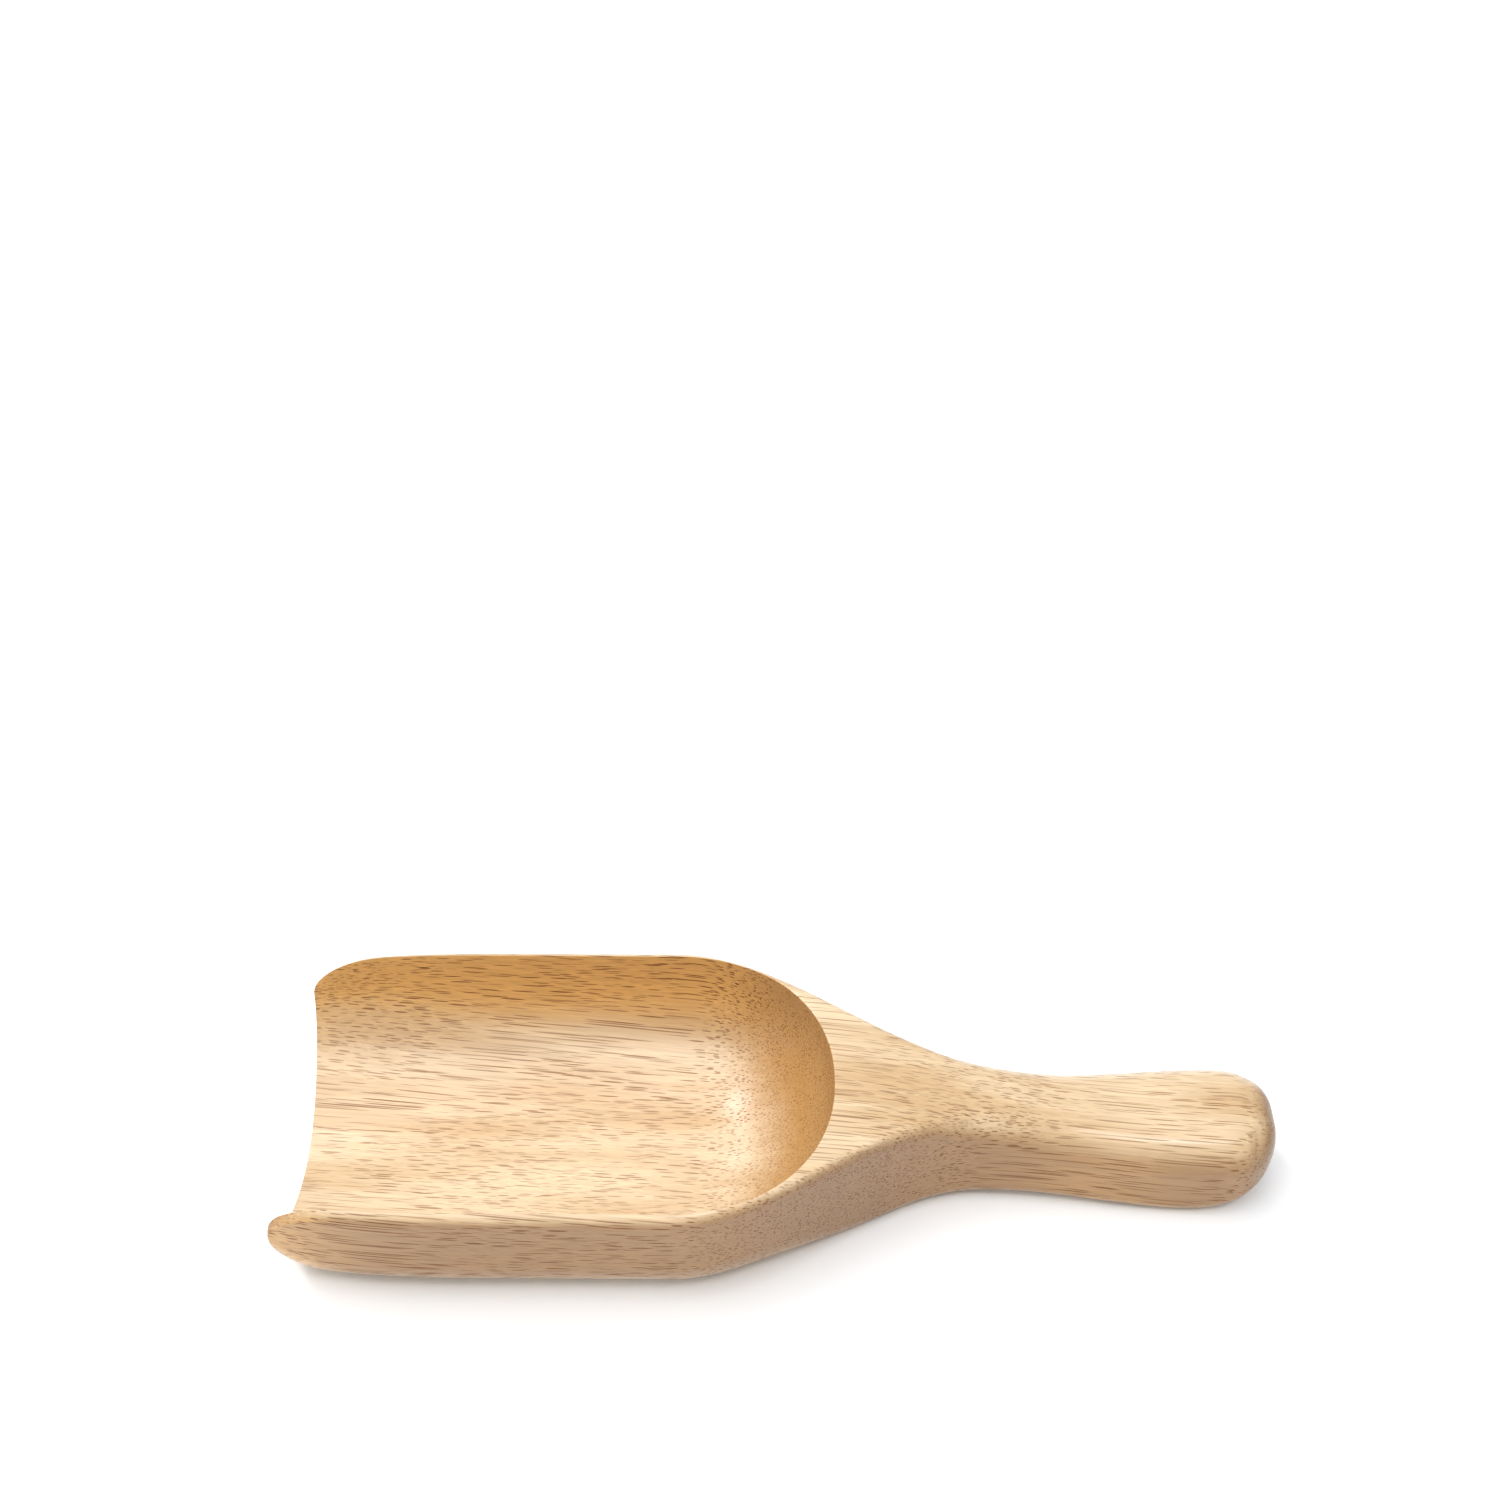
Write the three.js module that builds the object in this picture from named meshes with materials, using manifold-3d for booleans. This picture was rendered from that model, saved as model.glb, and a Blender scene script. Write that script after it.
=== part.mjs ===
// A hand scoop carved from one block of wood: an open-fronted bowl, two S-shaped
// shoulders and a swelling handle. The mouth faces -X, the handle points to +X,
// and the flat of the bowl's underside rests on Z = 0. Millimetres throughout.
import * as THREE from "three";
import { ParametricGeometry } from "three/addons/geometries/ParametricGeometry.js";
import { mergeVertices } from "three/addons/utils/BufferGeometryUtils.js";
import Module from "manifold-3d";

// Overall block
const LENGTH = 220;
const HEIGHT = 31.3;

// Widths seen from above
const MOUTH_WIDTH = 67.4;
const BOWL_WIDTH = 75;
const NECK_WIDTH = 20.4;
const BUTT_WIDTH = 28;

// Lengths along the block, counted from the mouth
const FLARE_LENGTH = 50; // mouth to the widest part of the bowl
const HOLLOW_LENGTH = 121;
const BACK_LENGTH = 36; // rounded back of the hollow, which starts where the shoulders do
const SHOULDER_LENGTH = 69;

// Walls
const RIM_THICKNESS = 2.1;
const LIP_THICKNESS = 1.1;
const FLOOR_THICKNESS = 4;

// Handle
const HANDLE_DROP = 8.4; // how far the butt's top lies below the rim
const HANDLE_DROP_LEAD = 6; // the top starts to fall this far ahead of the hollow's back
const HANDLE_DROP_LENGTH = 78;
const NECK_LIFT = 1.6; // daylight under the neck
const BUTT_SETBACK = 14; // widest part of the butt to its tip
const TIP_HEIGHT = 15.5; // height of the tip, where the butt closes
const END_LENGTH = 14; // the butt's sides curving in to the tip
const CROWN_LENGTH = 12; // the butt's top curving down to the tip
const HEEL_LENGTH = 21; // the butt's underside sweeping up to the tip

// Rounded long edges
const RIM_ROUND = 2.8;
const HANDLE_TOP_ROUND = 8.7;
const HANDLE_BOTTOM_ROUND = 4.6;
const CHINE_ROUND = 14.5; // lower long edges of the bowl
const TOP_DELAY = 13; // the rim's round keeps its size this far behind the hollow
const TOP_BLEND = 42; // and then grows into the handle's round over this length
const CHINE_DELAY = 15; // the chine keeps its size this far into the shoulder
const CHINE_BLEND = 35; // and then shrinks to the handle's round over this length

// Front of the bowl
const MOUTH_CORNER_LENGTH = 17; // upper corners of the mouth, seen from the side
const MOUTH_CORNER_DROP = 11;
const MOUTH_DISH = 1; // how far the middle of the lip stands back behind the corners
const BOW_LENGTH = 10; // stretch over which the underside rounds up to the lip
const LIP_RISE = 0.3;

// Fullness of the curves: 2 is an ellipse, larger is squarer
const MOUTH_FULLNESS = 1.75;
const END_FULLNESS = 2.6;
const BOWL_FULLNESS = 3;
const BACK_FULLNESS = 2.2;
const BACK_PLAN_FULLNESS = 2.15;

// How far the hollow's cutter reaches past the block
const CLEAR = 6;
const BRIM_CLEAR = 0.6; // its widest level in the bowl stands this far above the top face

const MOUTH = -LENGTH / 2;
const TIP = LENGTH / 2;
const WIDEST = MOUTH + FLARE_LENGTH;
const HOLLOW_BACK = MOUTH + HOLLOW_LENGTH;
const SHOULDER = HOLLOW_BACK - BACK_LENGTH;
const NECK = SHOULDER + SHOULDER_LENGTH;
const BUTT = TIP - BUTT_SETBACK;
const END_START = TIP - END_LENGTH;
const CROWN_START = TIP - CROWN_LENGTH;
const HEEL_START = TIP - HEEL_LENGTH;
const DROP_START = HOLLOW_BACK - HANDLE_DROP_LEAD;
const ARCH_START = SHOULDER + SHOULDER_LENGTH / 2;

const lerp = THREE.MathUtils.lerp;
const clamp01 = (t) => THREE.MathUtils.clamp(t, 0, 1);

// Smooth S-shaped step from 0 to 1 as x runs from start over length.
function ease(x, start, length) {
  return (1 - Math.cos(Math.PI * clamp01((x - start) / length))) / 2;
}

// Other leg of a superellipse, for one leg between 0 and 1.
function superLeg(t, fullness) {
  return Math.pow(1 - Math.pow(clamp01(t), fullness), 1 / fullness);
}

// Half the outer width at x, before the butt's end is rounded.
function halfWidth(x) {
  const flare = clamp01((WIDEST - x) / FLARE_LENGTH);
  const bowl = lerp(BOWL_WIDTH, MOUTH_WIDTH, flare ** 3);
  const neck = lerp(bowl, NECK_WIDTH, ease(x, SHOULDER, SHOULDER_LENGTH));
  return lerp(neck, BUTT_WIDTH, ease(x, NECK, BUTT - NECK)) / 2;
}

// Nearness to the lip, from 0 where the underside starts to round up to 1 at the lip.
function bow(x) {
  return clamp01((MOUTH + BOW_LENGTH - x) / BOW_LENGTH);
}

// Heights of the block's top and underside at x.
function topHeight(x) {
  const corner = 1 - superLeg((MOUTH + MOUTH_CORNER_LENGTH - x) / MOUTH_CORNER_LENGTH, 2);
  const drop = HANDLE_DROP * ease(x, DROP_START, HANDLE_DROP_LENGTH);
  return HEIGHT - MOUTH_CORNER_DROP * corner - drop;
}

function undersideHeight(x) {
  const arch = clamp01((x - ARCH_START) / (HEEL_START - ARCH_START));
  return LIP_RISE * bow(x) ** 2 + NECK_LIFT * Math.sin(Math.PI * arch) ** 2;
}

// Outer cross-section at x: half width, top, underside, the upper round and the lower one.
function section(x) {
  const end = superLeg((x - END_START) / END_LENGTH, END_FULLNESS);
  const crown = superLeg((x - CROWN_START) / CROWN_LENGTH, END_FULLNESS);
  const heel = superLeg((x - HEEL_START) / HEEL_LENGTH, 2);
  const half = halfWidth(x) * end;
  const top = lerp(TIP_HEIGHT, topHeight(x), crown);
  const bottom = lerp(TIP_HEIGHT, undersideHeight(x), heel);
  const front = 1 - superLeg(bow(x), 2);
  const handle = ease(x, HOLLOW_BACK + TOP_DELAY, TOP_BLEND);
  const edge = lerp(lerp(RIM_ROUND, HANDLE_TOP_ROUND, handle), LIP_THICKNESS, front);
  const chine = lerp(CHINE_ROUND, HANDLE_BOTTOM_ROUND, ease(x, SHOULDER + CHINE_DELAY, CHINE_BLEND));
  const room = (top - bottom) / 2;
  const topRound = Math.min(edge, half, room);
  return {
    half,
    top,
    bottom,
    topRound,
    lowerAcross: Math.min(lerp(chine, half, front), half),
    lowerUp: lerp(Math.min(chine, room), top - bottom - topRound, front),
  };
}

// Point of the half section, t from 0 at the top centre to 1 at the underside's centre.
const HALF_STEPS = 27;
const TOP_FLAT = 3 / HALF_STEPS;
const TOP_ROUND_END = 8 / HALF_STEPS;
const SIDE_END = 11 / HALF_STEPS;
const CHINE_END = 24 / HALF_STEPS;
function sectionPoint(s, t) {
  if (t < TOP_FLAT) {
    return [((s.half - s.topRound) * t) / TOP_FLAT, s.top];
  }
  if (t < TOP_ROUND_END) {
    const a = ((t - TOP_FLAT) / (TOP_ROUND_END - TOP_FLAT)) * (Math.PI / 2);
    return [s.half - s.topRound * (1 - Math.sin(a)), s.top - s.topRound * (1 - Math.cos(a))];
  }
  if (t < SIDE_END) {
    const f = (t - TOP_ROUND_END) / (SIDE_END - TOP_ROUND_END);
    return [s.half, lerp(s.top - s.topRound, s.bottom + s.lowerUp, f)];
  }
  if (t < CHINE_END) {
    const a = ((t - SIDE_END) / (CHINE_END - SIDE_END)) * (Math.PI / 2);
    const y = s.half - s.lowerAcross * (1 - Math.cos(a));
    return [y, s.bottom + s.lowerUp * (1 - Math.sin(a))];
  }
  const f = (t - CHINE_END) / (1 - CHINE_END);
  return [(s.half - s.lowerAcross) * (1 - f), s.bottom];
}

// Positions from `from` up to but not including `to`, crowded towards an end by `ends`.
function stretch(from, to, steps, crowd = (t) => t) {
  return Array.from({ length: steps }, (_, i) => lerp(from, to, crowd(i / steps)));
}

const towardsEnd = (t) => Math.sin((t * Math.PI) / 2);
const fromStart = (t) => 1 - Math.cos((t * Math.PI) / 2);

// The uncut block, a loft of the sections: a fan closes the mouth, and the tip is a point.
function blockGeometry() {
  const stations = [
    ...stretch(MOUTH, MOUTH + BOW_LENGTH, 10, fromStart),
    ...stretch(MOUTH + BOW_LENGTH, SHOULDER, 8),
    ...stretch(SHOULDER, NECK, 20),
    ...stretch(NECK, HEEL_START, 10),
    ...stretch(HEEL_START, TIP, 12, towardsEnd),
    TIP,
  ];
  const rings = stations.length;
  const place = (u, v, target) => {
    const ring = Math.round(u * rings) - 1;
    const x = stations[Math.max(ring, 0)];
    const s = section(x);
    const dish = MOUTH_DISH * bow(x);
    if (ring < 0) {
      target.set(x + dish, 0, (s.top + s.bottom) / 2);
      return;
    }
    const [y, z] = sectionPoint(s, 1 - Math.abs(1 - 2 * v));
    const inward = s.half > 0 ? 1 - (y / s.half) ** 2 : 0;
    target.set(x + dish * inward, v < 0.5 ? y : -y, z);
  };
  return new ParametricGeometry(place, rings, 2 * HALF_STEPS);
}

// The hollow's rim at u, from the near side of the mouth round the back to the far side:
// the rim point, the foot on the floor's centre line that it falls to, and the curve between.
const BACK_SHARE = 0.46;
function hollowRib(u) {
  const side = u < 0.5 ? -1 : 1;
  const along = 1 - Math.abs(1 - 2 * u);
  const straight = clamp01(along / (1 - BACK_SHARE));
  const turn = clamp01((along - 1 + BACK_SHARE) / BACK_SHARE) * (Math.PI / 2);
  const foot = lerp(MOUTH - CLEAR, SHOULDER, straight);
  const power = 2 / BACK_PLAN_FULLNESS;
  const wall = lerp(RIM_THICKNESS, LIP_THICKNESS, clamp01((WIDEST - foot) / FLARE_LENGTH) ** 2);
  const across = (halfWidth(foot) - wall) * Math.pow(Math.max(Math.cos(turn), 0), power);
  const reach = BACK_LENGTH * Math.pow(Math.sin(turn), power);
  const depth = (foot - MOUTH) / (SHOULDER - MOUTH);
  const opened = ease(foot, MOUTH, FLARE_LENGTH);
  return {
    foot,
    rim: [foot + reach, side * across],
    brim: HEIGHT + BRIM_CLEAR - MOUTH_CORNER_DROP * (1 - opened),
    floor: lerp(LIP_RISE + LIP_THICKNESS, FLOOR_THICKNESS, clamp01(depth)),
    fullness: lerp(lerp(MOUTH_FULLNESS, BOWL_FULLNESS, opened), BACK_FULLNESS, Math.sin(turn) ** 2),
  };
}

// The solid that is cut away: the hollow, carried up past the rim and out past the lip.
function hollowGeometry() {
  const ribs = 62;
  const rows = 18;
  const wallRows = 16;
  const lid = HEIGHT + CLEAR;
  const place = (u, v, target) => {
    const column = Math.round(u * ribs);
    const rib = hollowRib(clamp01((column - 1) / (ribs - 2)));
    if (column === 0 || column === ribs) {
      target.set(MOUTH - CLEAR, 0, (lid + rib.floor) / 2);
      return;
    }
    const row = Math.round(v * rows);
    const angle = (Math.min(row, wallRows) / wallRows) * (Math.PI / 2);
    const out = row === rows ? 0 : Math.pow(Math.sin(angle), 2 / BOWL_FULLNESS);
    const deep = superLeg(out, rib.fullness);
    const z = row > wallRows ? lid : lerp(rib.brim, rib.floor, deep);
    target.set(lerp(rib.foot, rib.rim[0], out), rib.rim[1] * out, z);
  };
  return new ParametricGeometry(place, ribs, rows);
}

// manifold-3d cuts the block; geometries go in and out as merged triangles.
const wasm = await Module();
wasm.setup();

function solid(geometry) {
  geometry.deleteAttribute("normal");
  geometry.deleteAttribute("uv");
  const merged = mergeVertices(geometry, 1e-3);
  const corners = merged.index.array;
  const triVerts = [];
  for (let i = 0; i < corners.length; i += 3) {
    const [a, b, c] = corners.slice(i, i + 3);
    if (a !== b && b !== c && c !== a) triVerts.push(a, b, c);
  }
  const vertProperties = merged.attributes.position.array;
  return new wasm.Manifold(
    new wasm.Mesh({ numProp: 3, vertProperties, triVerts: new Uint32Array(triVerts) }),
  );
}

function geometryOf(body) {
  const mesh = body.getMesh();
  const geometry = new THREE.BufferGeometry();
  geometry.setAttribute("position", new THREE.BufferAttribute(mesh.vertProperties, 3));
  geometry.setIndex(new THREE.BufferAttribute(mesh.triVerts, 1));
  geometry.computeVertexNormals();
  return geometry;
}

const scoop = new THREE.Mesh(
  geometryOf(solid(blockGeometry()).subtract(solid(hollowGeometry()))),
  new THREE.MeshStandardMaterial({ color: 0xd0a878, roughness: 0.45, metalness: 0 }),
);
scoop.name = "scoop";

const part = new THREE.Group();
part.add(scoop);

export default part;
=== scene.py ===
"""A hand scoop carved from one block of open-pored hardwood, lying on a pale table.

Run it as a script. The scoop is one mesh grown by a Geometry Nodes tree from the sizes below: the
block is a loft of rounded sections, and the hollow is cut out of it. The mouth faces -X, the handle
points to +X, the table is Z = 0, and all lengths are in metres.
"""

import math

import bmesh
import bpy
from bpy.props import FloatProperty, FloatVectorProperty, IntProperty, PointerProperty
from bpy.types import Operator, Panel, PropertyGroup
from mathutils import Matrix, Vector


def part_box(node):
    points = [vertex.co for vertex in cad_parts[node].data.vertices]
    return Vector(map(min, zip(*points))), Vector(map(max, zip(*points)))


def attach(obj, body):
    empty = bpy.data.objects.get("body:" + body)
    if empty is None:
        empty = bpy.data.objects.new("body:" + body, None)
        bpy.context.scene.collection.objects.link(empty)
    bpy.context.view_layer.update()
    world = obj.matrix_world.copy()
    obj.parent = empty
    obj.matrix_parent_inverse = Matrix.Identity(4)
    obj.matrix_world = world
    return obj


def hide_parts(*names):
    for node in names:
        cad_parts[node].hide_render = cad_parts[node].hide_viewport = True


bl_info = {
    "name": "Carved Wooden Scoop",
    "version": (1, 0, 0),
    "blender": (4, 5, 0),
    "location": "View3D > Sidebar > Scoop",
    "description": "Builds a one-piece carved wooden scoop, its table, lights and camera",
    "category": "Add Mesh",
}

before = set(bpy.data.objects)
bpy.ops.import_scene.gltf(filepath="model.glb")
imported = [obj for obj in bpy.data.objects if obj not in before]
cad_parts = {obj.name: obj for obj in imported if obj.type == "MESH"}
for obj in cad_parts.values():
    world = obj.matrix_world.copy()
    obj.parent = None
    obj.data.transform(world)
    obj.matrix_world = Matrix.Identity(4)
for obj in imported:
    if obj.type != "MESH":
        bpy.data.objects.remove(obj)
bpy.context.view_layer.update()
BLOCK_LOW, BLOCK_HIGH = (Vector(corner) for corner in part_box("scoop"))
BLOCK = BLOCK_HIGH - BLOCK_LOW

MOST_TRIANGLES = 200_000
MILLIMETRES = 1000.0


def distance(name, default, description):
    """A length that a user can set."""
    return FloatProperty(
        name=name, description=description, default=default, min=0.0, precision=5, unit="LENGTH"
    )


def number(name, default, description, high=10.0):
    """A plain number that a user can set."""
    return FloatProperty(name=name, description=description, default=default, min=0.0, max=high)


def angle(name, default, description):
    """An angle that a user can set, in radians."""
    return FloatProperty(name=name, description=description, default=default, subtype="ANGLE")


def count(name, default, description):
    """A whole number that a user can set."""
    return IntProperty(name=name, description=description, default=default)


def colour(name, default, description):
    """A colour that a user can set."""
    return FloatVectorProperty(
        name=name, description=description, default=default, min=0.0, max=1.0, subtype="COLOR"
    )


class ScoopShape(PropertyGroup):
    """Sizes of the carved scoop."""

    length: distance("Length", round(BLOCK.x, 5), "Mouth to the handle's tip")
    height: distance("Height", round(BLOCK.z, 5), "Table to the rim")
    bowl_width: distance("Bowl width", round(BLOCK.y, 5), "Widest part of the bowl")
    mouth_width: distance("Mouth width", 0.0674, "Bowl width at the mouth")
    neck_width: distance("Neck width", 0.0204, "Narrowest part of the handle")
    butt_width: distance("Butt width", 0.028, "Widest part of the handle")
    flare_length: distance("Flare length", 0.050, "Mouth to the widest part of the bowl")
    shoulder_length: distance("Shoulder length", 0.069, "Shoulders, from the bowl to the neck")
    hollow_length: distance("Hollow length", 0.121, "Mouth to the back of the hollow's rim")
    back_length: distance("Back length", 0.036, "Rounded back, starting at the shoulders")
    rim_thickness: distance("Rim thickness", 0.0021, "Wall at the rim")
    lip_thickness: distance("Lip thickness", 0.0011, "Wall at the mouth")
    floor_thickness: distance("Floor thickness", 0.004, "Wood under the back of the hollow")
    handle_drop: distance("Handle drop", 0.0084, "Butt's top below the rim")
    drop_lead: distance("Drop lead", 0.006, "Top starting to fall ahead of the back")
    drop_length: distance("Drop length", 0.078, "Length over which the top falls")
    neck_lift: distance("Neck lift", 0.0016, "Daylight under the neck")
    butt_setback: distance("Butt setback", 0.014, "Widest part of the butt to its tip")
    tip_height: distance("Tip height", 0.0155, "Height at which the butt closes")
    end_length: distance("End length", 0.014, "Butt's sides curving in to the tip")
    crown_length: distance("Crown length", 0.012, "Butt's top curving down to the tip")
    heel_length: distance("Heel length", 0.021, "Butt's underside sweeping up to the tip")
    rim_round: distance("Rim round", 0.0028, "Upper long edges of the bowl")
    handle_top_round: distance("Handle top round", 0.0087, "Upper long edges of the handle")
    handle_bottom_round: distance("Handle bottom round", 0.0046, "Lower long edges of the handle")
    chine_round: distance("Chine round", 0.0145, "Lower long edges of the bowl")
    top_delay: distance("Top delay", 0.013, "Rim's round keeping its size behind the hollow")
    top_blend: distance("Top blend", 0.042, "Rim's round growing into the handle's")
    chine_delay: distance("Chine delay", 0.015, "Chine's full size into the shoulder")
    chine_blend: distance("Chine blend", 0.035, "Chine shrinking to the handle's round")
    corner_length: distance("Corner length", 0.017, "Mouth's upper corners, along the scoop")
    corner_drop: distance("Corner drop", 0.011, "Mouth's upper corners, in height")
    mouth_dish: distance("Mouth dish", 0.001, "Middle of the lip behind its corners")
    bow_length: distance("Bow length", 0.010, "Underside rounding up to the lip")
    lip_rise: distance("Lip rise", 0.0003, "Lip's underside above the table")
    edge_round: distance("Edge round", 0.00035, "Eased inner edge of the rim")
    mouth_fullness: number("Mouth fullness", 1.75, "Squareness of the hollow at the mouth")
    bowl_fullness: number("Bowl fullness", 3.0, "Squareness of the hollow in the bowl")
    back_fullness: number("Back fullness", 2.2, "Squareness of the hollow's back wall")
    plan_fullness: number("Plan fullness", 2.15, "Squareness of the hollow's back, in plan")
    end_fullness: number("End fullness", 2.6, "Squareness of the butt's end")
    block_columns: count("Block columns", 300, "Sections from the mouth to the tip")
    block_rows: count("Block rows", 161, "Points round a section")
    hollow_columns: count("Hollow columns", 251, "Ribs round the hollow")


class WoodLook(PropertyGroup):
    """Colours and grain of the wood, with painted shade on its outer upright and end-grain faces
    and painted light on the same faces in the hollow.
    """

    pale: colour("Pale", (0.69, 0.530, 0.345), "Early wood on faces cut along the grain")
    tan: colour("Tan", (0.53, 0.350, 0.180), "Late wood on faces cut along the grain")
    # Side and End grain are the wood's own side-grain and end-grain tone with painted shade, set
    # darker than the pale top; Inner side and Inner end grain are the same cuts in the hollow with
    # painted light, set brighter and more golden.
    side: colour("Side", (0.345, 0.185, 0.070), "Upright outer faces")
    inner: colour("Inner side", (0.63, 0.350, 0.110), "Upright faces of the hollow")
    end: colour("End grain", (0.27, 0.150, 0.064), "Outer faces cut across the grain")
    inner_end_with_painted_light: colour("Inner end grain", (0.42, 0.225, 0.072), "The hollow's back wall")
    pore: colour("Pore", (0.18, 0.062, 0.012), "Open pores")
    tilt: angle("Tilt", 0.07, "Grain's turn in plan")
    dive: angle("Dive", -0.045, "Grain's slope in height")
    pore_length: distance("Pore length", 0.034, "Spacing of the pores along the grain")
    pore_spacing: distance("Pore spacing", 0.00048, "Spacing of the pores across the grain")
    pore_width: distance("Pore width", 0.00035, "Width of a pore")
    roughness: number("Roughness", 0.34, "Varnished wood's roughness", high=1.0)
    varnish: number("Varnish", 0.3, "Strength of the varnish layer", high=1.0)


class StageLook(PropertyGroup):
    """Table, lights and camera."""

    table_size: distance("Table size", 8.0, "Side of the square table top")
    table_colour: colour("Table colour", (0.93, 0.95, 0.97), "Plain pale table")
    room_light: number("Room light", 0.53, "Strength of the even light all round")
    key_power: number("Key power", 13.0, "Watts of the soft light behind", high=1000.0)
    overhead_power: number("Overhead power", 24.0, "Watts of the wide light above", high=1000.0)
    ridge_power: number("Ridge power", 5.0, "Watts of the small light in front", high=1000.0)
    lens: number("Lens", 52.14, "Focal length in millimetres", high=200.0)


# ---------------------------------------------------------------- node arithmetic


class Value:
    """One number in a node tree. Arithmetic on it adds Math nodes to the tree."""

    def __init__(self, tree, socket):
        self.tree = tree
        self.socket = socket

    def math(self, operation, *others, clamp=False):
        """A new Math node's result, with this number as its first input."""
        node = self.tree.nodes.new("ShaderNodeMath")
        node.operation = operation
        node.use_clamp = clamp
        for slot, value in zip(node.inputs, (self, *others)):
            plug(self.tree, value, slot)
        return Value(self.tree, node.outputs[0])

    def __add__(self, other):
        return self.math("ADD", other)

    def __sub__(self, other):
        return self.math("SUBTRACT", other)

    def __mul__(self, other):
        return self.math("MULTIPLY", other)

    def __truediv__(self, other):
        return self.math("DIVIDE", other)

    def __pow__(self, other):
        return self.math("POWER", other)

    def __radd__(self, other):
        return self + other

    def __rmul__(self, other):
        return self * other

    def __rsub__(self, other):
        return self * -1.0 + other

    def clamped(self):
        """The number held between 0 and 1."""
        return self.math("ADD", 0.0, clamp=True)


def plug(tree, value, slot):
    """Feeds a node's input from a Value, a socket or a plain number."""
    if isinstance(value, Value):
        tree.links.new(value.socket, slot)
    elif isinstance(value, bpy.types.NodeSocket):
        tree.links.new(value, slot)
    else:
        slot.default_value = value


def add(tree, kind, inputs=None, **settings):
    """A new node with its settings and inputs, the inputs named or numbered."""
    node = tree.nodes.new(kind)
    for name, value in settings.items():
        setattr(node, name, value)
    for name, value in (inputs or {}).items():
        plug(tree, value, node.inputs[name])
    return node


def mix(a, b, share):
    """a where share is 0, b where it is 1. a and b may be plain numbers."""
    return (b - a) * share + a


def lesser(a, b):
    """The smaller of two numbers."""
    return a.math("MINIMUM", b)


def greater(a, b):
    """The larger of two numbers."""
    return a.math("MAXIMUM", b)


def ease(x, start, length):
    """Smooth S-shaped step from 0 to 1 as x runs from start over length."""
    turn = ((x - start) / length).clamped() * math.pi
    return (1.0 - turn.math("COSINE")) * 0.5


def super_leg(t, fullness):
    """Other leg of a superellipse, for one leg between 0 and 1."""
    rest = (1.0 - t.clamped() ** fullness).clamped()
    return rest ** (fullness ** -1.0)


# ---------------------------------------------------------------- shape

SAME_POINT = 1e-6  # a loft's points this close are one
CUT_POINT = 4e-6  # points this close after the cut are one
LEAST_WIDTH = 1e-6  # keeps a division finite where the block closes
CRISP_BEND = math.radians(42)  # edges that bend more than this stay sharp
ELLIPSE = 2.0  # fullness of a plain ellipse
FLARE_POWER = 3.0  # how late the bowl's sides draw in towards the mouth


class Carving:
    """The rules of the scoop's shape, as values in a node tree."""

    def __init__(self, tree, sizes):
        self.tree = tree
        self.s = sizes
        s = sizes
        self.mouth = s["length"] * -0.5
        self.tip = s["length"] * 0.5
        self.widest = self.mouth + s["flare_length"]
        self.back = self.mouth + s["hollow_length"]
        self.shoulder = self.back - s["back_length"]
        self.neck = self.shoulder + s["shoulder_length"]
        self.butt = self.tip - s["butt_setback"]

    def half_width(self, x):
        """Half of the scoop's width in plan."""
        s = self.s
        flare = ((self.widest - x) / s["flare_length"]).clamped()
        bowl = mix(s["bowl_width"], s["mouth_width"], flare**FLARE_POWER)
        neck = mix(bowl, s["neck_width"], ease(x, self.shoulder, s["shoulder_length"]))
        return mix(neck, s["butt_width"], ease(x, self.neck, self.butt - self.neck)) * 0.5

    def bow(self, x):
        """1 at the lip, falling to 0 where the underside has rounded out."""
        return ((self.mouth + self.s["bow_length"] - x) / self.s["bow_length"]).clamped()

    def top(self, x):
        """Height of the upper edge."""
        s = self.s
        ahead = (self.mouth + s["corner_length"] - x) / s["corner_length"]
        corner = (1.0 - super_leg(ahead, ELLIPSE)) * s["corner_drop"]
        drop = s["handle_drop"] * ease(x, self.back - s["drop_lead"], s["drop_length"])
        return s["height"] - corner - drop

    def underside(self, x):
        """Height of the underside on the centre line."""
        s = self.s
        start = self.shoulder + s["shoulder_length"] * 0.5
        heel = self.tip - s["heel_length"]
        arch = ((x - start) / (heel - start)).clamped() * math.pi
        lift = s["neck_lift"] * arch.math("SINE") ** 2.0
        return s["lip_rise"] * self.bow(x) ** 2.0 + lift


def index_grid(tree, columns, rows):
    """A grid of points and each point's column and row number."""
    grid = add(tree, "GeometryNodeMeshGrid", {"Vertices X": columns, "Vertices Y": rows})
    index = Value(tree, add(tree, "GeometryNodeInputIndex").outputs[0])
    column = ((index + 0.5) / rows).math("FLOOR")
    return grid.outputs["Mesh"], column, index - column * rows


def merged(tree, mesh, reach):
    """The mesh with points closer than reach made one."""
    node = add(tree, "GeometryNodeMergeByDistance", {"Geometry": mesh, "Distance": reach})
    return node.outputs[0]


def placed(tree, mesh, x, y, z):
    """The grid moved to its computed places, with points that fall together made one."""
    place = add(tree, "ShaderNodeCombineXYZ", {"X": x, "Y": y, "Z": z})
    moved = add(
        tree, "GeometryNodeSetPosition", {"Geometry": mesh, "Position": place.outputs[0]}
    )
    return merged(tree, moved.outputs[0], SAME_POINT)


# Where each stretch of half a section ends, as a share of its points from the top's middle.
FLAT_SHARE = 0.12
ROUND_SHARE = 0.32
SIDE_SHARE = 0.42
CHINE_SHARE = 0.88
QUARTER = math.pi / 2


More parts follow.
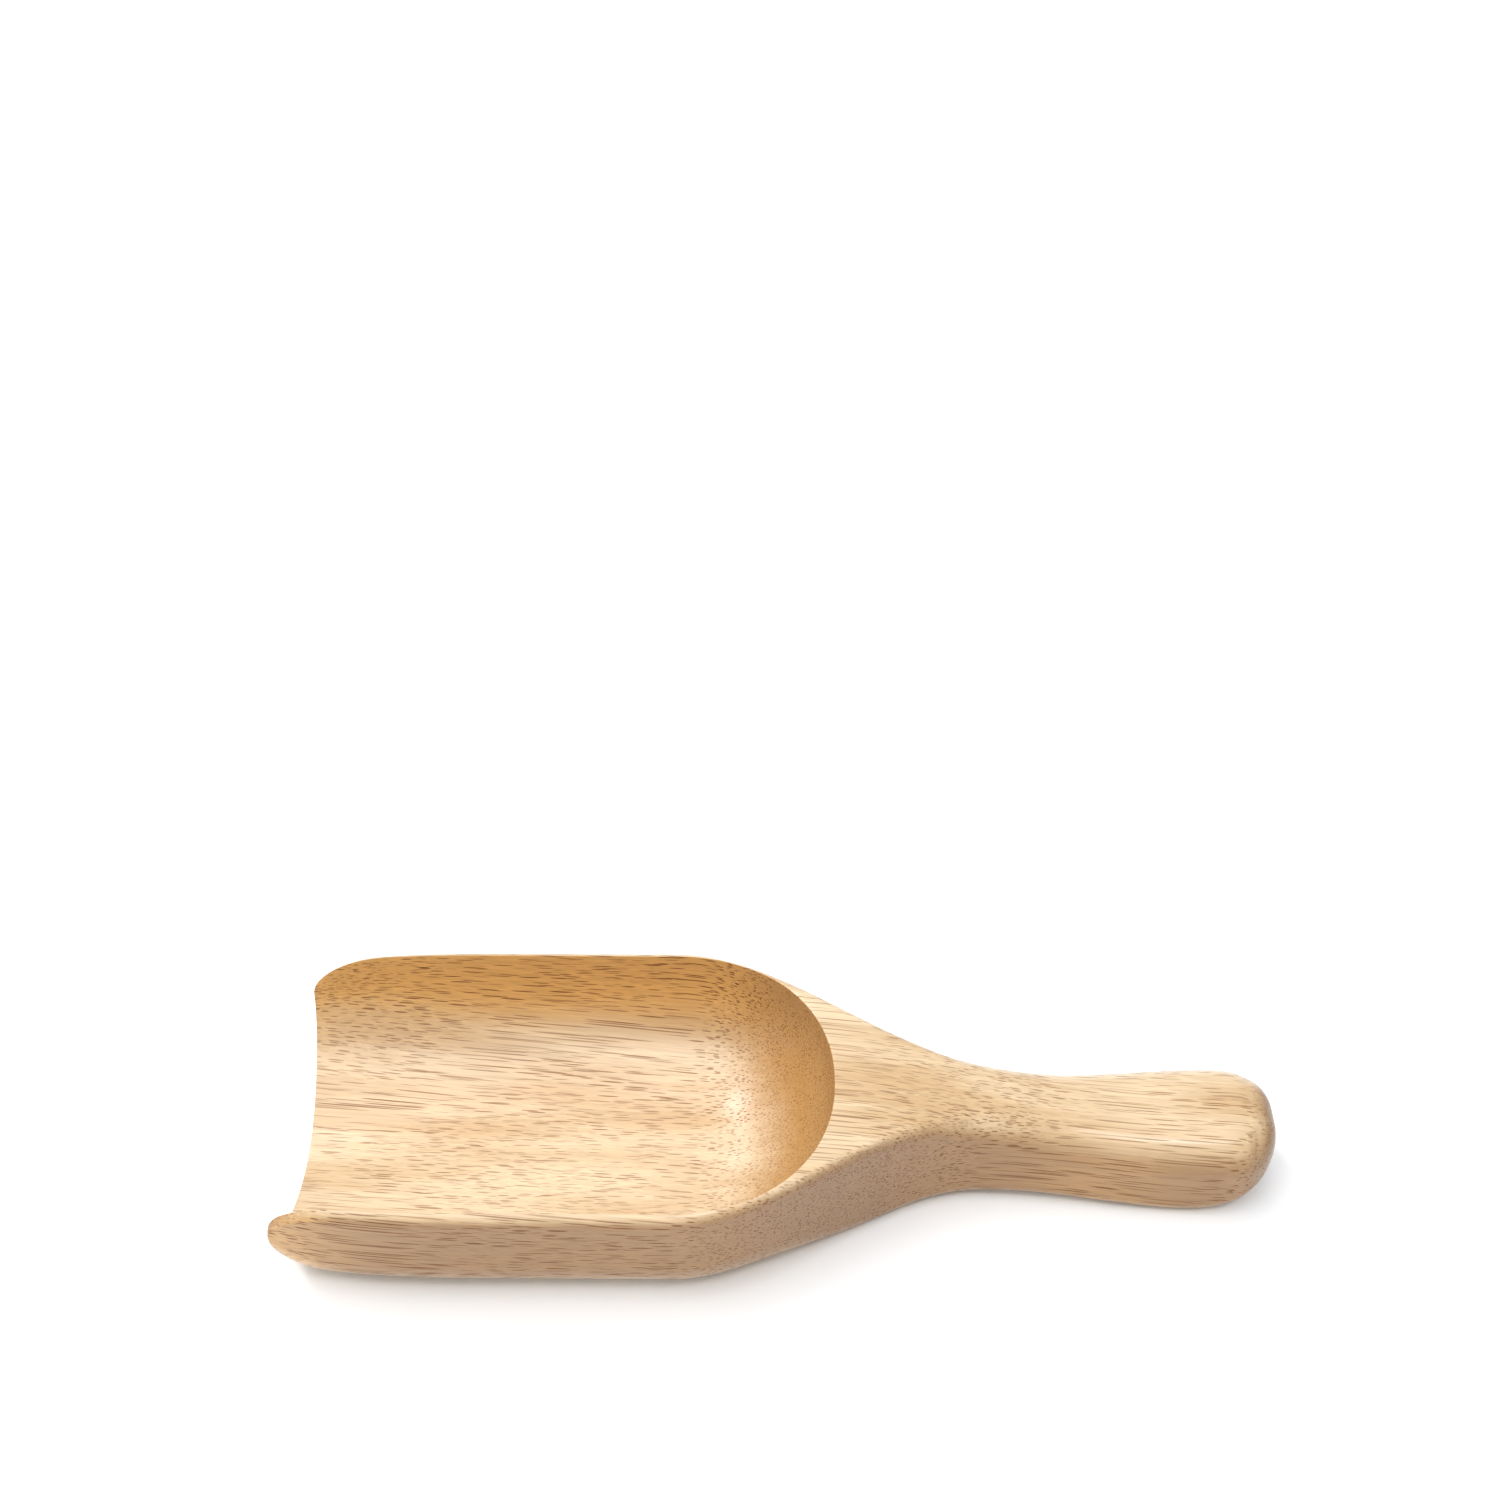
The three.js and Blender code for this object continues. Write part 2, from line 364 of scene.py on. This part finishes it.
def block(carving, columns, rows):
    """The uncut block: a closed loft of sections from the mouth to the tip."""
    tree, s = carving.tree, carving.s
    mesh, column, row = index_grid(tree, columns, rows)
    run = ((column - 1.0) / (columns - 2.0)).clamped()
    x = mix(carving.mouth, carving.tip, (1.0 - (run * math.pi).math("COSINE")) * 0.5)
    round_about = row / (rows - 1.0)
    t = 1.0 - (1.0 - round_about * 2.0).math("ABSOLUTE")

    end = super_leg((x - (carving.tip - s["end_length"])) / s["end_length"], s["end_fullness"])
    crown = super_leg(
        (x - (carving.tip - s["crown_length"])) / s["crown_length"], s["end_fullness"]
    )
    heel = super_leg((x - (carving.tip - s["heel_length"])) / s["heel_length"], ELLIPSE)
    half = carving.half_width(x) * end
    top = mix(s["tip_height"], carving.top(x), crown)
    bottom = mix(s["tip_height"], carving.underside(x), heel)
    front = 1.0 - super_leg(carving.bow(x), ELLIPSE)
    handle = ease(x, carving.back + s["top_delay"], s["top_blend"])
    edge = mix(mix(s["rim_round"], s["handle_top_round"], handle), s["lip_thickness"], front)
    narrowing = ease(x, carving.shoulder + s["chine_delay"], s["chine_blend"])
    chine = mix(s["chine_round"], s["handle_bottom_round"], narrowing)
    room = (top - bottom) * 0.5
    top_round = lesser(lesser(edge, half), room)
    across = lesser(mix(chine, half, front), half)
    up = mix(lesser(chine, room), top - bottom - top_round, front)

    flat = (t / FLAT_SHARE).clamped()
    over = ((t - FLAT_SHARE) / (ROUND_SHARE - FLAT_SHARE)).clamped() * QUARTER
    down = ((t - ROUND_SHARE) / (SIDE_SHARE - ROUND_SHARE)).clamped()
    under = ((t - SIDE_SHARE) / (CHINE_SHARE - SIDE_SHARE)).clamped() * QUARTER
    closing = ((t - CHINE_SHARE) / (1.0 - CHINE_SHARE)).clamped()
    y = (half - top_round) * flat + top_round * over.math("SINE")
    y = y - across * (1.0 - under.math("COSINE")) - (half - across) * closing
    z = top - top_round * (1.0 - over.math("COSINE"))
    z = z - (top - top_round - bottom - up) * down - up * under.math("SINE")

    # The first column closes the mouth's face, and the last one is the tip.
    shut = greater(column.math("LESS_THAN", 0.5), column.math("GREATER_THAN", columns - 1.5))
    inward = 1.0 - (y / greater(half, LEAST_WIDTH)) ** 2.0
    x = x + s["mouth_dish"] * carving.bow(x) * mix(inward, 1.0, shut)
    y = y * (1.0 - shut)
    z = mix(z, (top + bottom) * 0.5, shut)
    side = 1.0 - round_about.math("GREATER_THAN", 0.5) * 2.0
    return placed(tree, mesh, x, y * side, z)


# The hollow's rows run up its wall, straight to the rim, round the eased edge and out over it.
WALL_ROWS = 72
RISE_ROWS = 6
EDGE_ROWS = 5
OUTER_ROW = WALL_ROWS + RISE_ROWS + EDGE_ROWS  # last row on the eased edge
LID_ROWS = 3  # the edge carried on, the lid's edge and the lid's middle
BACK_SHARE = 0.46  # share of the ribs that stand round the back
EDGE_TURN = math.radians(68)
EDGE_RUN = 0.0006  # the eased edge carried on past the top face
BRIM_CLEAR = 0.0006  # the wall's curve aims this far above the rim
CLEAR = 0.006  # the cutter's reach past the lip and over the rim


def hollow(carving, columns):
    """The solid that is cut away: the hollow, carried up past the rim and out past the lip."""
    tree, s = carving.tree, carving.s
    rows = OUTER_ROW + 1 + LID_ROWS
    mesh, column, row = index_grid(tree, columns, rows)
    u = ((column - 1.0) / (columns - 3.0)).clamped()
    ends = greater(column.math("LESS_THAN", 0.5), column.math("GREATER_THAN", columns - 1.5))
    along = 1.0 - (1.0 - u * 2.0).math("ABSOLUTE")
    straight = (along / (1.0 - BACK_SHARE)).clamped()
    turn = ((along - (1.0 - BACK_SHARE)) / BACK_SHARE).clamped() * QUARTER
    foot = mix(carving.mouth - CLEAR, carving.shoulder, straight)
    power = 2.0 * s["plan_fullness"] ** -1.0
    thinning = ((carving.widest - foot) / s["flare_length"]).clamped() ** 2.0
    wall = mix(s["rim_thickness"], s["lip_thickness"], thinning)
    sine, cosine = turn.math("SINE"), turn.math("COSINE").clamped()
    across = (carving.half_width(foot) - wall) * cosine**power
    reach = s["back_length"] * sine**power
    opened = ease(foot, carving.mouth, s["flare_length"])
    brim = s["height"] + BRIM_CLEAR - s["corner_drop"] * (1.0 - opened)
    depth = ((foot - carving.mouth) / (carving.shoulder - carving.mouth)).clamped()
    floor = mix(s["lip_rise"] + s["lip_thickness"], s["floor_thickness"], depth)
    fullness = mix(
        mix(s["mouth_fullness"], s["bowl_fullness"], opened), s["back_fullness"], sine**2.0
    )

    # The wall ends a little under the top face, where the eased edge takes over.
    rim = carving.top(foot + reach)
    wall_top = rim - s["edge_round"]
    top_out = super_leg((brim - wall_top) / (brim - floor), fullness)
    last = (top_out ** (s["bowl_fullness"] * 0.5)).math("ARCSINE")
    angle = (row / WALL_ROWS).clamped() * last
    out = angle.math("SINE").clamped() ** (2.0 * s["bowl_fullness"] ** -1.0)
    deep = super_leg(out, fullness)
    z = brim - (brim - floor) * deep
    rise = ((row - WALL_ROWS) / RISE_ROWS).clamped()
    z = mix(z, wall_top, rise)
    easing = ((row - (WALL_ROWS + RISE_ROWS)) / EDGE_ROWS).clamped() * EDGE_TURN
    run = (row - OUTER_ROW).clamped()
    lift = (row - (OUTER_ROW + 1)).clamped()
    close = (row - (OUTER_ROW + 2)).clamped()
    z = z + s["edge_round"] * easing.math("SINE") + run * EDGE_RUN
    spread = s["edge_round"] * (1.0 - easing.math("COSINE")) + run * EDGE_RUN * math.tan(EDGE_TURN)
    lid = s["height"] + CLEAR
    z = mix(mix(z, lid, lift), (lid + floor) * 0.5, ends)
    radius = (reach * reach + across * across).math("SQRT")
    share = (out + spread / radius) * (1.0 - close)
    x = mix(foot + reach * share, carving.mouth - CLEAR, ends)
    side = u.math("GREATER_THAN", 0.5) * 2.0 - 1.0
    return placed(tree, mesh, x, across * share * side * (1.0 - ends), z)


def carving_tree(settings, material):
    """The Geometry Nodes tree of the scoop, with an input for each of its sizes."""
    tree = bpy.data.node_groups.new("Carved scoop", "GeometryNodeTree")
    tree.is_modifier = True
    names = list(ScoopShape.__annotations__)
    for name in names:
        about = settings.bl_rna.properties[name]
        kind = "NodeSocketInt" if about.type == "INT" else "NodeSocketFloat"
        item = tree.interface.new_socket(about.name, in_out="INPUT", socket_type=kind)
        item.description = about.description
    tree.interface.new_socket("Scoop", in_out="OUTPUT", socket_type="NodeSocketGeometry")
    entry = add(tree, "NodeGroupInput")
    sizes = {name: Value(tree, entry.outputs[i]) for i, name in enumerate(names)}

    carving = Carving(tree, sizes)
    solid = block(carving, sizes["block_columns"], sizes["block_rows"])
    cutter = hollow(carving, sizes["hollow_columns"])
    cut = add(tree, "GeometryNodeMeshBoolean", operation="DIFFERENCE", solver="MANIFOLD")
    tree.links.new(solid, cut.inputs[0])
    tree.links.new(cutter, cut.inputs[1])
    clean = merged(tree, cut.outputs[0], CUT_POINT)
    smooth = add(tree, "GeometryNodeSetShadeSmooth", {"Geometry": clean})
    bend = Value(tree, add(tree, "GeometryNodeInputMeshEdgeAngle").outputs[0])
    crisp = add(
        tree,
        "GeometryNodeSetShadeSmooth",
        {
            "Geometry": smooth.outputs[0],
            "Selection": bend.math("GREATER_THAN", CRISP_BEND),
            "Shade Smooth": False,
        },
        domain="EDGE",
    )
    real = add(tree, "GeometryNodeRealizeInstances", {"Geometry": crisp.outputs[0]})
    coat = add(tree, "GeometryNodeSetMaterial", {"Geometry": real.outputs[0]})
    coat.inputs["Material"].default_value = material
    leave = add(tree, "NodeGroupOutput")
    tree.links.new(coat.outputs[0], leave.inputs[0])
    return tree


def grown(name, tree, settings):
    """A plain mesh object grown by the tree from an empty mesh."""
    seed = bpy.data.objects.new(name + " seed", bpy.data.meshes.new(name + " seed"))
    bpy.context.collection.objects.link(seed)
    modifier = seed.modifiers.new("Carving", "NODES")
    modifier.node_group = tree
    sockets = [item for item in tree.interface.items_tree if item.in_out == "INPUT"]
    for item, key in zip(sockets, ScoopShape.__annotations__):
        modifier[item.identifier] = getattr(settings, key)
    depsgraph = bpy.context.evaluated_depsgraph_get()
    mesh = bpy.data.meshes.new_from_object(seed.evaluated_get(depsgraph))
    mesh.name = name
    drop_folds(mesh)
    seed.modifiers.remove(modifier)
    bpy.data.objects.remove(seed, do_unlink=True)
    shape = bpy.data.objects.new(name, mesh)
    bpy.context.collection.objects.link(shape)
    return shape


def drop_folds(mesh):
    """Removes points with only two edges, where two faces fold back on each other."""
    work = bmesh.new()
    work.from_mesh(mesh)
    folds = [vert for vert in work.verts if len(vert.link_edges) == 2]
    bmesh.ops.dissolve_verts(work, verts=folds)
    work.to_mesh(mesh)
    work.free()


def check_closed(shape):
    """Raises if the mesh is open, empty, inside out or too heavy."""
    work = bmesh.new()
    work.from_mesh(shape.data)
    open_edges = sum(1 for edge in work.edges if not edge.is_manifold)
    volume = work.calc_volume(signed=True)
    triangles = sum(len(face.verts) - 2 for face in work.faces)
    work.free()
    if open_edges or volume <= 0 or not 0 < triangles < MOST_TRIANGLES:
        raise RuntimeError(
            f"{shape.name}: {open_edges} open edges, volume {volume}, {triangles} triangles"
        )


# ---------------------------------------------------------------- wood

FLOAT, VECTOR = "NodeSocketFloat", "NodeSocketVector"

# Patterns are measured in millimetres: along the grain first, then across it.
WANDER_SIZE = (46.0, 17.0)
BROAD_BAND = (150.0, 9.0)
BAND_PATCH = (60.0, 25.0)
PORE_CLUMP = (30, 5)
STREAK = {"Length": 26.0, "Width": 0.55}
FINE_STREAK = {"Length": 8.0, "Width": 0.16}
HAIR_PORES = {"Length": 110.0, "Spacing": 0.45, "Width": 0.22, "Amount": 0.7}
PORE_AMOUNT = 0.92  # share of the places for a pore that hold one
GRAIN_WANDER = 0.35
WOOD_IOR = 1.5
VARNISH_ROUGHNESS = 0.18
GRAIN_RELIEF = 0.00015  # metres between the wood's surface and a pore's bottom


def shader_group(name, inputs, outputs):
    """An empty shader node group, its input Values by name and its output node."""
    group = bpy.data.node_groups.new(name, "ShaderNodeTree")
    for label, kind, default in inputs:
        item = group.interface.new_socket(label, in_out="INPUT", socket_type=kind)
        if default is not None:
            item.default_value = default
    for label, kind in outputs:
        group.interface.new_socket(label, in_out="OUTPUT", socket_type=kind)
    entry = add(group, "NodeGroupInput")
    values = {label: Value(group, entry.outputs[label]) for label, _, _ in inputs}
    return group, values, add(group, "NodeGroupOutput")


def use(tree, group, inputs):
    """A node group placed in a tree, returned as its outputs."""
    node = add(tree, "ShaderNodeGroup", node_tree=group)
    for name, value in inputs.items():
        plug(tree, value, node.inputs[name])
    return node.outputs


def split(tree, vector):
    """The three parts of a vector."""
    node = add(tree, "ShaderNodeSeparateXYZ", {0: vector})
    return [Value(tree, socket) for socket in node.outputs]


def joined(tree, x, y, z):
    """A vector from its three parts."""
    return Value(tree, add(tree, "ShaderNodeCombineXYZ", {"X": x, "Y": y, "Z": z}).outputs[0])


def stretched(tree, vector, size):
    """A place in the wood measured in a pattern's own size along and across the grain."""
    x, y, z = split(tree, vector)
    along, across = size
    return joined(tree, x / along, y / across, z / across)


def noise(tree, vector, scale=1.0, detail=2.0, roughness=0.5):
    """Noise between about 0.2 and 0.8, centred on a half."""
    node = add(
        tree,
        "ShaderNodeTexNoise",
        {"Vector": vector, "Scale": scale, "Detail": detail, "Roughness": roughness},
    )
    return Value(tree, node.outputs["Fac"])


def between(value, low, high):
    """0 at low, 1 at high, eased and clamped."""
    node = add(
        value.tree,
        "ShaderNodeMapRange",
        {"Value": value, "From Min": low, "From Max": high},
        interpolation_type="SMOOTHSTEP",
    )
    return Value(value.tree, node.outputs["Result"])


def blend(tree, share, a, b, kind="MIX"):
    """Colour a mixed towards colour b."""
    node = add(tree, "ShaderNodeMix", data_type="RGBA", blend_type=kind)
    plug(tree, share, node.inputs["Factor"])
    plug(tree, a, node.inputs["A"])
    plug(tree, b, node.inputs["B"])
    return node.outputs["Result"]


def grain_space():
    """Group: places in the wood in millimetres, X along the grain, with a gentle wander."""
    group, value, leave = shader_group(
        "Grain space",
        [
            ("Place", VECTOR, None),
            ("Tilt", FLOAT, 0.0),
            ("Dive", FLOAT, 0.0),
            ("Wander", FLOAT, 0.5),
        ],
        [("Grain", VECTOR)],
    )
    turn = joined(group, 0.0, value["Dive"], value["Tilt"])
    mapping = add(
        group,
        "ShaderNodeMapping",
        {"Vector": value["Place"], "Rotation": turn, "Scale": (MILLIMETRES,) * 3},
    )
    x, y, z = split(group, mapping.outputs[0])
    slow = stretched(group, mapping.outputs[0], WANDER_SIZE)
    drift = add(group, "ShaderNodeTexNoise", {"Vector": slow, "Scale": 1.0, "Detail": 1.0})
    across, upward, _ = split(group, drift.outputs["Color"])
    y = y + (across - 0.5) * value["Wander"] * 4.0
    z = z + (upward - 0.5) * value["Wander"] * 2.0
    group.links.new(joined(group, x, y, z).socket, leave.inputs["Grain"])
    return group


def pore_group():
    """Group: long thin pores, which show as dashes along the grain and dots across it."""
    group, value, leave = shader_group(
        "Pores",
        [
            ("Grain", VECTOR, None),
            ("Length", FLOAT, 40.0),
            ("Spacing", FLOAT, 0.8),
            ("Width", FLOAT, 0.36),
            ("Amount", FLOAT, 0.7),
        ],
        [("Pores", FLOAT)],
    )
    cells = stretched(group, value["Grain"], (value["Length"], value["Spacing"]))
    voronoi = add(group, "ShaderNodeTexVoronoi", {"Vector": cells, "Scale": 1.0})
    away = Value(group, voronoi.outputs["Distance"])
    chance, strength, _ = split(group, voronoi.outputs["Color"])
    radius = value["Width"] / value["Spacing"] * 0.5
    core = 1.0 - between(away / radius, 0.75, 1.05)
    kept = between(value["Amount"] - chance, -0.02, 0.02)
    group.links.new((core * kept * (strength * 0.4 + 0.6)).socket, leave.inputs["Pores"])
    return group


def fibre_group():
    """Group: fine light and dark streaks along the grain, about 0 on average."""
    group, value, leave = shader_group(
        "Fibres",
        [("Grain", VECTOR, None), ("Length", FLOAT, 30.0), ("Width", FLOAT, 0.5)],
        [("Streaks", FLOAT)],
    )
    place = stretched(group, value["Grain"], (value["Length"], value["Width"]))
    streaks = (noise(group, place, detail=3.0, roughness=0.6) - 0.5) * 2.0
    group.links.new(streaks.socket, leave.inputs["Streaks"])
    return group


def cut_group():
    """Group: whether a face is end grain, upright or turned inwards, from its normal; the inward
    mask decides where painted light goes instead of painted shade.
    """
    group, value, leave = shader_group(
        "Cut of the face",
        [("Facing", VECTOR, None), ("Place", VECTOR, None), ("Grain", VECTOR, None)],
        [("End", FLOAT), ("Upright", FLOAT), ("Hollow", FLOAT)],
    )
    x, y, z = split(group, value["Facing"])
    _, across, _ = split(group, value["Place"])
    # Faces turned in towards the middle get the hollow's painted light, the others the outside's
    # painted shade.
    inward = between(greater(y * across.math("SIGN") * -1.0, x * -1.0), 0.02, 0.3)
    group.links.new(inward.socket, leave.inputs["Hollow"])
    ragged = (noise(group, value["Grain"], scale=0.35, detail=2.0) - 0.5) * 0.25
    end = between(x.math("ABSOLUTE") + ragged * 0.6, 0.18, 0.75)
    upright = between(1.0 - z.math("ABSOLUTE") + ragged * 0.4, 0.15, 0.8)
    group.links.new(end.socket, leave.inputs["End"])
    group.links.new(upright.socket, leave.inputs["Upright"])
    return group


def band_group():
    """Group: broad bands of paler and darker growth."""
    group, value, leave = shader_group(
        "Growth bands", [("Grain", VECTOR, None)], [("Bands", FLOAT)]
    )
    grain = value["Grain"]
    broad = noise(group, stretched(group, grain, BROAD_BAND), detail=3.0, roughness=0.55)
    patch = noise(group, stretched(group, grain, BAND_PATCH), detail=2.0)
    bands = between(broad * 0.65 + patch * 0.35, 0.36, 0.64)
    group.links.new(bands.socket, leave.inputs["Bands"])
    return group


def wood_material(look):
    """Varnished open-pored hardwood with its grain along X, with painted shade on its outer upright
    and end-grain faces and painted light on those in the hollow.
    """
    material = bpy.data.materials.new("Varnished wood")
    material.use_nodes = True
    tree = material.node_tree
    tree.nodes.clear()
    place = add(tree, "ShaderNodeTexCoord").outputs
    grain_inputs = {
        "Place": place["Object"],
        "Tilt": look.tilt,
        "Dive": look.dive,
        "Wander": GRAIN_WANDER,
    }
    grain = use(tree, grain_space(), grain_inputs)["Grain"]
    cut_inputs = {"Facing": place["Normal"], "Place": place["Object"], "Grain": grain}
    cut = use(tree, cut_group(), cut_inputs)
    bands = use(tree, band_group(), {"Grain": grain})["Bands"]
    fibres = fibre_group()
    streaks = Value(tree, use(tree, fibres, {"Grain": grain, **STREAK})["Streaks"])
    fine = Value(tree, use(tree, fibres, {"Grain": grain, **FINE_STREAK})["Streaks"])
    pores = pore_group()
    open_pores = {
        "Length": look.pore_length * MILLIMETRES,
        "Spacing": look.pore_spacing * MILLIMETRES,
        "Width": look.pore_width * MILLIMETRES,
        "Amount": PORE_AMOUNT,
    }
    sparse = Value(tree, use(tree, pores, {"Grain": grain, **open_pores})["Pores"])
    hair = Value(tree, use(tree, pores, {"Grain": grain, **HAIR_PORES})["Pores"])
    clumps = between(noise(tree, stretched(tree, grain, PORE_CLUMP), detail=2.0), 0.3, 0.62)
    strong = sparse * (clumps * 0.4 + 0.6)
    thin = hair * 0.6

    flat_colour = blend(tree, bands, (*look.pale, 1.0), (*look.tan, 1.0))
    # Painted light and shade: upright and end-grain faces take the brighter inner colours in the
    # hollow and the darker outer ones outside, by the inward mask.
    upright = blend(tree, cut["Hollow"], (*look.side, 1.0), (*look.inner, 1.0))
    end_grain_painted_light_and_shade = blend(tree, cut["Hollow"], (*look.end, 1.0), (*look.inner_end_with_painted_light, 1.0))
    wood = blend(tree, cut["Upright"], flat_colour, upright)
    wood = blend(tree, cut["End"], wood, end_grain_painted_light_and_shade)
    shade = streaks * 0.30 + fine * 0.16 + 1.0
    wood = blend(tree, 1.0, wood, joined(tree, shade, shade, shade), "MULTIPLY")
    depth = greater(strong * (Value(tree, cut["Upright"]) * 0.35 + 0.8), thin).clamped()
    wood = blend(tree, depth, wood, (*look.pore, 1.0))

    rough = (streaks * 0.06 + depth * 0.4 + look.roughness).clamped()
    height = fine * 0.12 + streaks * 0.1 - depth * 0.6
    relief = {"Height": height, "Strength": 0.35, "Distance": GRAIN_RELIEF}
    bump = add(tree, "ShaderNodeBump", relief)
    shader = add(
        tree,
        "ShaderNodeBsdfPrincipled",
        {"Base Color": wood, "Roughness": rough, "Normal": bump.outputs[0]},
    )
    shader.inputs["IOR"].default_value = WOOD_IOR
    plug(tree, (1.0 - depth) * look.varnish, shader.inputs["Coat Weight"])
    shader.inputs["Coat Roughness"].default_value = VARNISH_ROUGHNESS
    out = add(tree, "ShaderNodeOutputMaterial")
    tree.links.new(shader.outputs[0], out.inputs["Surface"])
    return material


# ---------------------------------------------------------------- operators


class SCOOP_OT_carve(Operator):
    """Carve the scoop: the whole object is this one piece of wood"""

    bl_idname = "scoop.carve"
    bl_label = "Carve Scoop"

    def execute(self, context):
        scene = context.scene
        material = wood_material(scene.wood_look)
        tree = carving_tree(scene.scoop_shape, material)
        scoop = grown("carved_scoop", tree, scene.scoop_shape)
        check_closed(scoop)
        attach(scoop, "root")
        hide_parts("scoop")
        return {"FINISHED"}


# Where each light stands, and its width and depth. All of them face the scoop's middle.
KEY_LIGHT = ((-1.05, 0.88, 1.6), (0.55, 0.55))
OVERHEAD_LIGHT = ((-0.4, -0.1, 1.5), (1.8, 1.6))
RIDGE_LIGHT = ((0.3, -0.7, 1.6), (0.4, 0.25))

CAMERA_PLACE = (-0.00586, -0.29661, 0.4130)
CAMERA_AHEAD = Vector((-0.0042, 0.7248, -0.689))
CAMERA_RIGHT = Vector((1.0, 0.0058, 0.0001))
SENSOR_WIDTH = 36.0
NEAR_CLIP = 0.01


def soft_light(name, place_and_size, power):
    """A rectangular area light that faces the middle of the scoop's underside."""
    where, size = place_and_size
    lamp = bpy.data.lights.new(name, "AREA")
    lamp.shape = "RECTANGLE"
    lamp.size, lamp.size_y = size
    lamp.energy = power
    holder = bpy.data.objects.new(name, lamp)
    holder.location = where
    holder.rotation_euler = (-Vector(where)).to_track_quat("-Z", "Y").to_euler()
    bpy.context.collection.objects.link(holder)


def table_top(look):
    """The plain square table top, with its paint."""
    mesh = bpy.data.meshes.new("Table top")
    reach = look.table_size / 2
    corners = [(-reach, -reach, 0), (reach, -reach, 0), (reach, reach, 0), (-reach, reach, 0)]
    mesh.from_pydata(corners, [], [(0, 1, 2, 3)])
    table = bpy.data.objects.new("table_top", mesh)
    bpy.context.collection.objects.link(table)
    paint = bpy.data.materials.new("Table paint")
    paint.use_nodes = True
    coat = paint.node_tree.nodes["Principled BSDF"]
    coat.inputs["Base Color"].default_value = (*look.table_colour, 1.0)
    coat.inputs["Roughness"].default_value = 0.9
    coat.inputs["Specular IOR Level"].default_value = 0.1
    mesh.materials.append(paint)
    return table


def room(look):
    """Even white light from all round."""
    world = bpy.data.worlds.new("Room")
    world.use_nodes = True
    air = world.node_tree.nodes["Background"]
    air.inputs["Color"].default_value = (1.0, 1.0, 1.0, 1.0)
    air.inputs["Strength"].default_value = look.room_light
    return world


def aimed_camera(look):
    """The camera, above the scoop's near side and looking down on it."""
    camera = bpy.data.cameras.new("Camera")
    camera.lens = look.lens
    camera.sensor_width = SENSOR_WIDTH
    camera.clip_start = NEAR_CLIP
    holder = bpy.data.objects.new("Camera", camera)
    ahead = CAMERA_AHEAD.normalized()
    right = CAMERA_RIGHT.normalized()
    upward = right.cross(ahead).normalized()
    turn = Matrix((right, upward, -ahead)).transposed().to_4x4()
    holder.matrix_world = Matrix.Translation(CAMERA_PLACE) @ turn
    bpy.context.collection.objects.link(holder)
    return holder


class SCOOP_OT_stage(Operator):
    """Set the table, the soft lights and the camera"""

    bl_idname = "scoop.stage"
    bl_label = "Set Stage"

    def execute(self, context):
        scene = context.scene
        look = scene.stage_look
        table_top(look)
        scene.world = room(look)
        soft_light("Key", KEY_LIGHT, look.key_power)
        soft_light("Overhead", OVERHEAD_LIGHT, look.overhead_power)
        soft_light("Ridge", RIDGE_LIGHT, look.ridge_power)
        scene.camera = aimed_camera(look)
        scene.view_settings.view_transform = "Standard"
        return {"FINISHED"}


class SCOOP_PT_panel(Panel):
    """Buttons that build the scoop and its stage"""

    bl_idname = "SCOOP_PT_panel"
    bl_label = "Carved Scoop"
    bl_space_type = "VIEW_3D"
    bl_region_type = "UI"
    bl_category = "Scoop"

    def draw(self, context):
        scene = context.scene
        self.layout.operator(SCOOP_OT_carve.bl_idname)
        self.layout.operator(SCOOP_OT_stage.bl_idname)
        for group in (scene.scoop_shape, scene.wood_look, scene.stage_look):
            box = self.layout.box()
            for name in group.__annotations__:
                box.prop(group, name)


CLASSES = (ScoopShape, WoodLook, StageLook, SCOOP_OT_carve, SCOOP_OT_stage, SCOOP_PT_panel)


def register():
    for cls in CLASSES:
        bpy.utils.register_class(cls)
    bpy.types.Scene.scoop_shape = PointerProperty(type=ScoopShape)
    bpy.types.Scene.wood_look = PointerProperty(type=WoodLook)
    bpy.types.Scene.stage_look = PointerProperty(type=StageLook)


def unregister():
    del bpy.types.Scene.stage_look
    del bpy.types.Scene.wood_look
    del bpy.types.Scene.scoop_shape
    for cls in reversed(CLASSES):
        bpy.utils.unregister_class(cls)


def main():
    """Builds everything in order."""
    register()
    bpy.ops.scoop.carve()
    bpy.ops.scoop.stage()
    bpy.context.view_layer.update()


if __name__ == "__main__":
    main()
